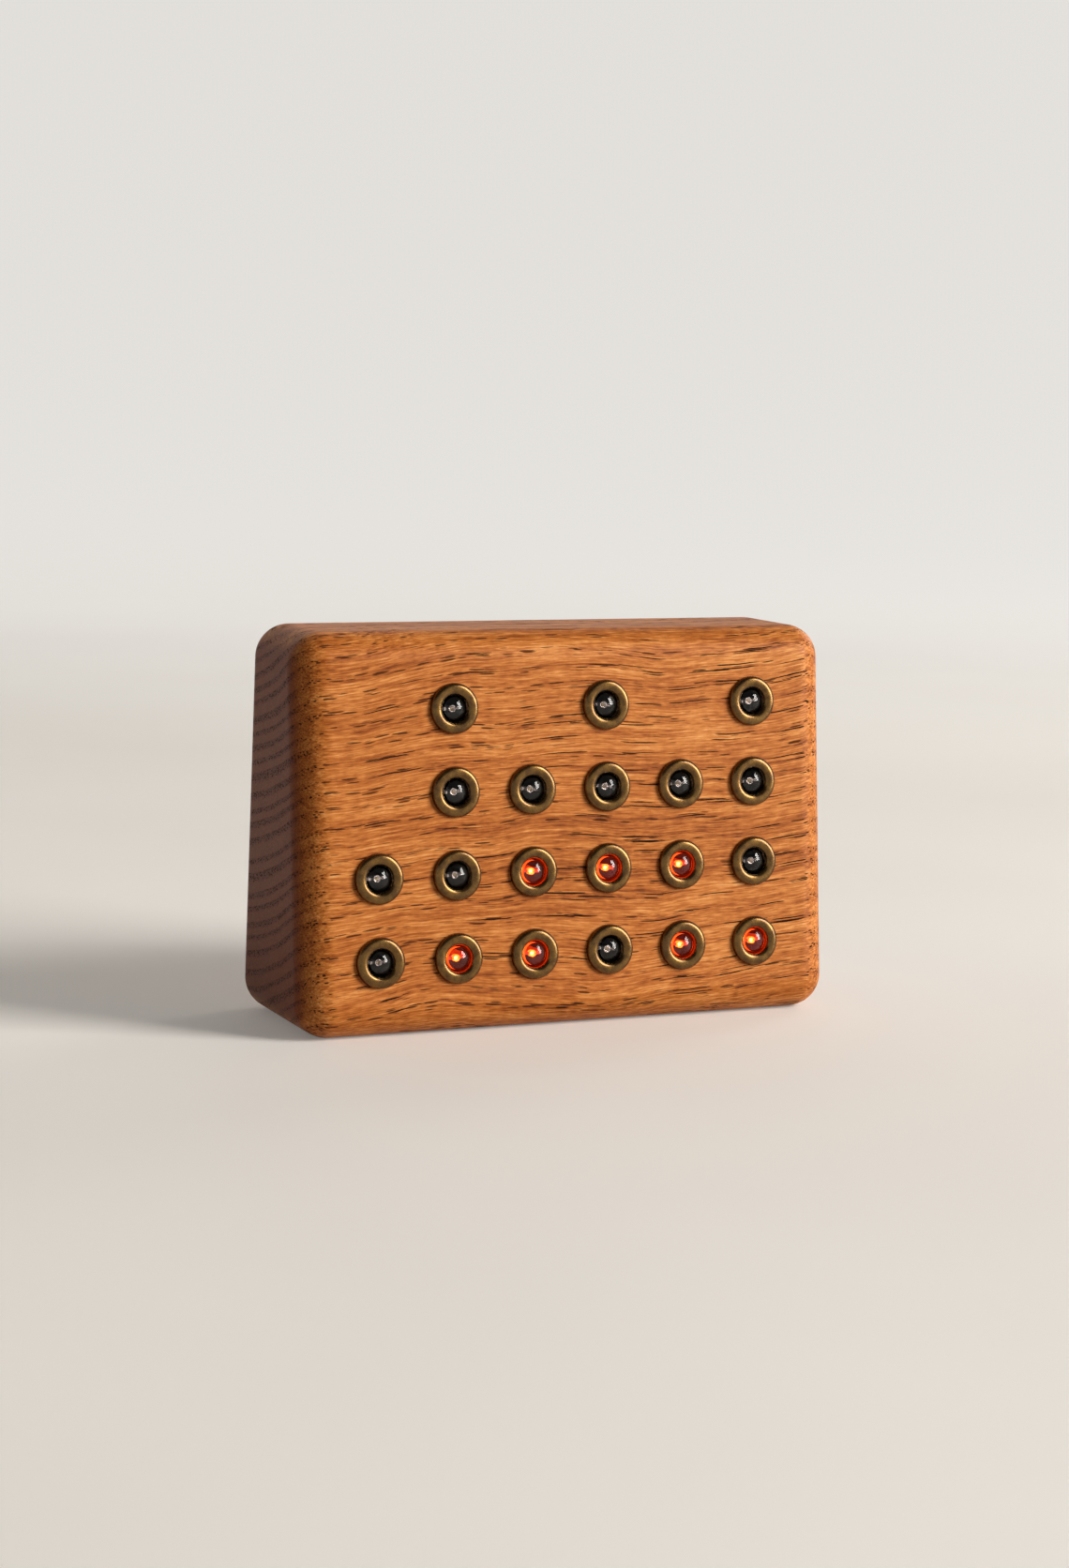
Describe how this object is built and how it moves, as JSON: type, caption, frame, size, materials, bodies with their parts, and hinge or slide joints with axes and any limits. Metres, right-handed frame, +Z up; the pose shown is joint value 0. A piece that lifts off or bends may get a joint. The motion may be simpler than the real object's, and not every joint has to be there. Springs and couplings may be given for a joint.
{
  "type": "binary clock",
  "caption": "Desk binary clock: leaning oak block with rounded edges, clear LEDs in antique-brass bezels, screwed rear cover with power socket and set buttons.",
  "frame": {"origin": "middle of the base, on the surface that the clock stands on", "axes": "+Z up, the face looks towards -Y, +X to the right as seen from the front"},
  "size_m": [0.127, 0.0483, 0.087],
  "materials": {
    "oak": "oiled satin",
    "cover_oak": "oiled satin",
    "antique_brass": "aged, satin",
    "led_clear": "clear, gloss",
    "led_lit": "clear, lit red-orange",
    "tinned_wire": "tinned",
    "zinc_steel": "zinc plated",
    "board_green": "solder mask",
    "board_blue": "solder mask",
    "strip_black": "moulded",
    "chip_black": "moulded",
    "cell_steel": "stamped",
    "resistor_tan": "lacquered",
    "panel_black": "moulded",
    "button_black": "moulded",
    "wire_red": "insulated"
  },
  "bodies": {
    "clock": {"case_block": "oak", "rear_cover": "cover_oak", "cover_screws": "antique_brass", "bezel_hour_tens_1": "antique_brass", "bezel_hour_tens_2": "antique_brass", "bezel_hour_ones_1": "antique_brass", "bezel_hour_ones_2": "antique_brass", "bezel_hour_ones_4": "antique_brass", "bezel_hour_ones_8": "antique_brass", "bezel_minute_tens_1": "antique_brass", "bezel_minute_tens_2": "antique_brass", "bezel_minute_tens_4": "antique_brass", "bezel_minute_ones_1": "antique_brass", "bezel_minute_ones_2": "antique_brass", "bezel_minute_ones_4": "antique_brass", "bezel_minute_ones_8": "antique_brass", "bezel_second_tens_1": "antique_brass", "bezel_second_tens_2": "antique_brass", "bezel_second_tens_4": "antique_brass", "bezel_second_ones_1": "antique_brass", "bezel_second_ones_2": "antique_brass", "bezel_second_ones_4": "antique_brass", "bezel_second_ones_8": "antique_brass", "led_hour_tens_1": "led_clear", "led_hour_tens_2": "led_clear", "led_hour_ones_1": "led_lit", "led_hour_ones_2": "led_clear", "led_hour_ones_4": "led_clear", "led_hour_ones_8": "led_clear", "led_minute_tens_1": "led_lit", "led_minute_tens_2": "led_lit", "led_minute_tens_4": "led_clear", "led_minute_ones_1": "led_clear", "led_minute_ones_2": "led_lit", "led_minute_ones_4": "led_clear", "led_minute_ones_8": "led_clear", "led_second_tens_1": "led_lit", "led_second_tens_2": "led_lit", "led_second_tens_4": "led_clear", "led_second_ones_1": "led_lit", "led_second_ones_2": "led_clear", "led_second_ones_4": "led_clear", "led_second_ones_8": "led_clear", "led_legs": "tinned_wire", "display_board": "board_green", "board_screws": "zinc_steel", "header_sockets": "strip_black", "pin_headers": "strip_black", "controller_board": "board_blue", "clock_board": "board_blue", "module_chips": "chip_black", "coin_holder": "strip_black", "coin_cell": "cell_steel", "resistors": "resistor_tan", "power_socket": "panel_black", "set_switches": "panel_black", "panel_nuts": "zinc_steel", "wiring": "wire_red"},
    "hour_button": {"hour_button": "button_black"},
    "minute_button": {"minute_button": "button_black"}
  },
  "joints": [
    {"name": "hour_press", "type": "slide", "parent": "clock", "child": "hour_button", "axis": [0, -0.9977, -0.068], "range_m": [0, 0.001], "stiffness_N_per_m": 1500, "springref_m": -0.0005},
    {"name": "minute_press", "type": "slide", "parent": "clock", "child": "minute_button", "axis": [0, -0.9977, -0.068], "range_m": [0, 0.001], "stiffness_N_per_m": 1500, "springref_m": -0.0005}
  ]
}
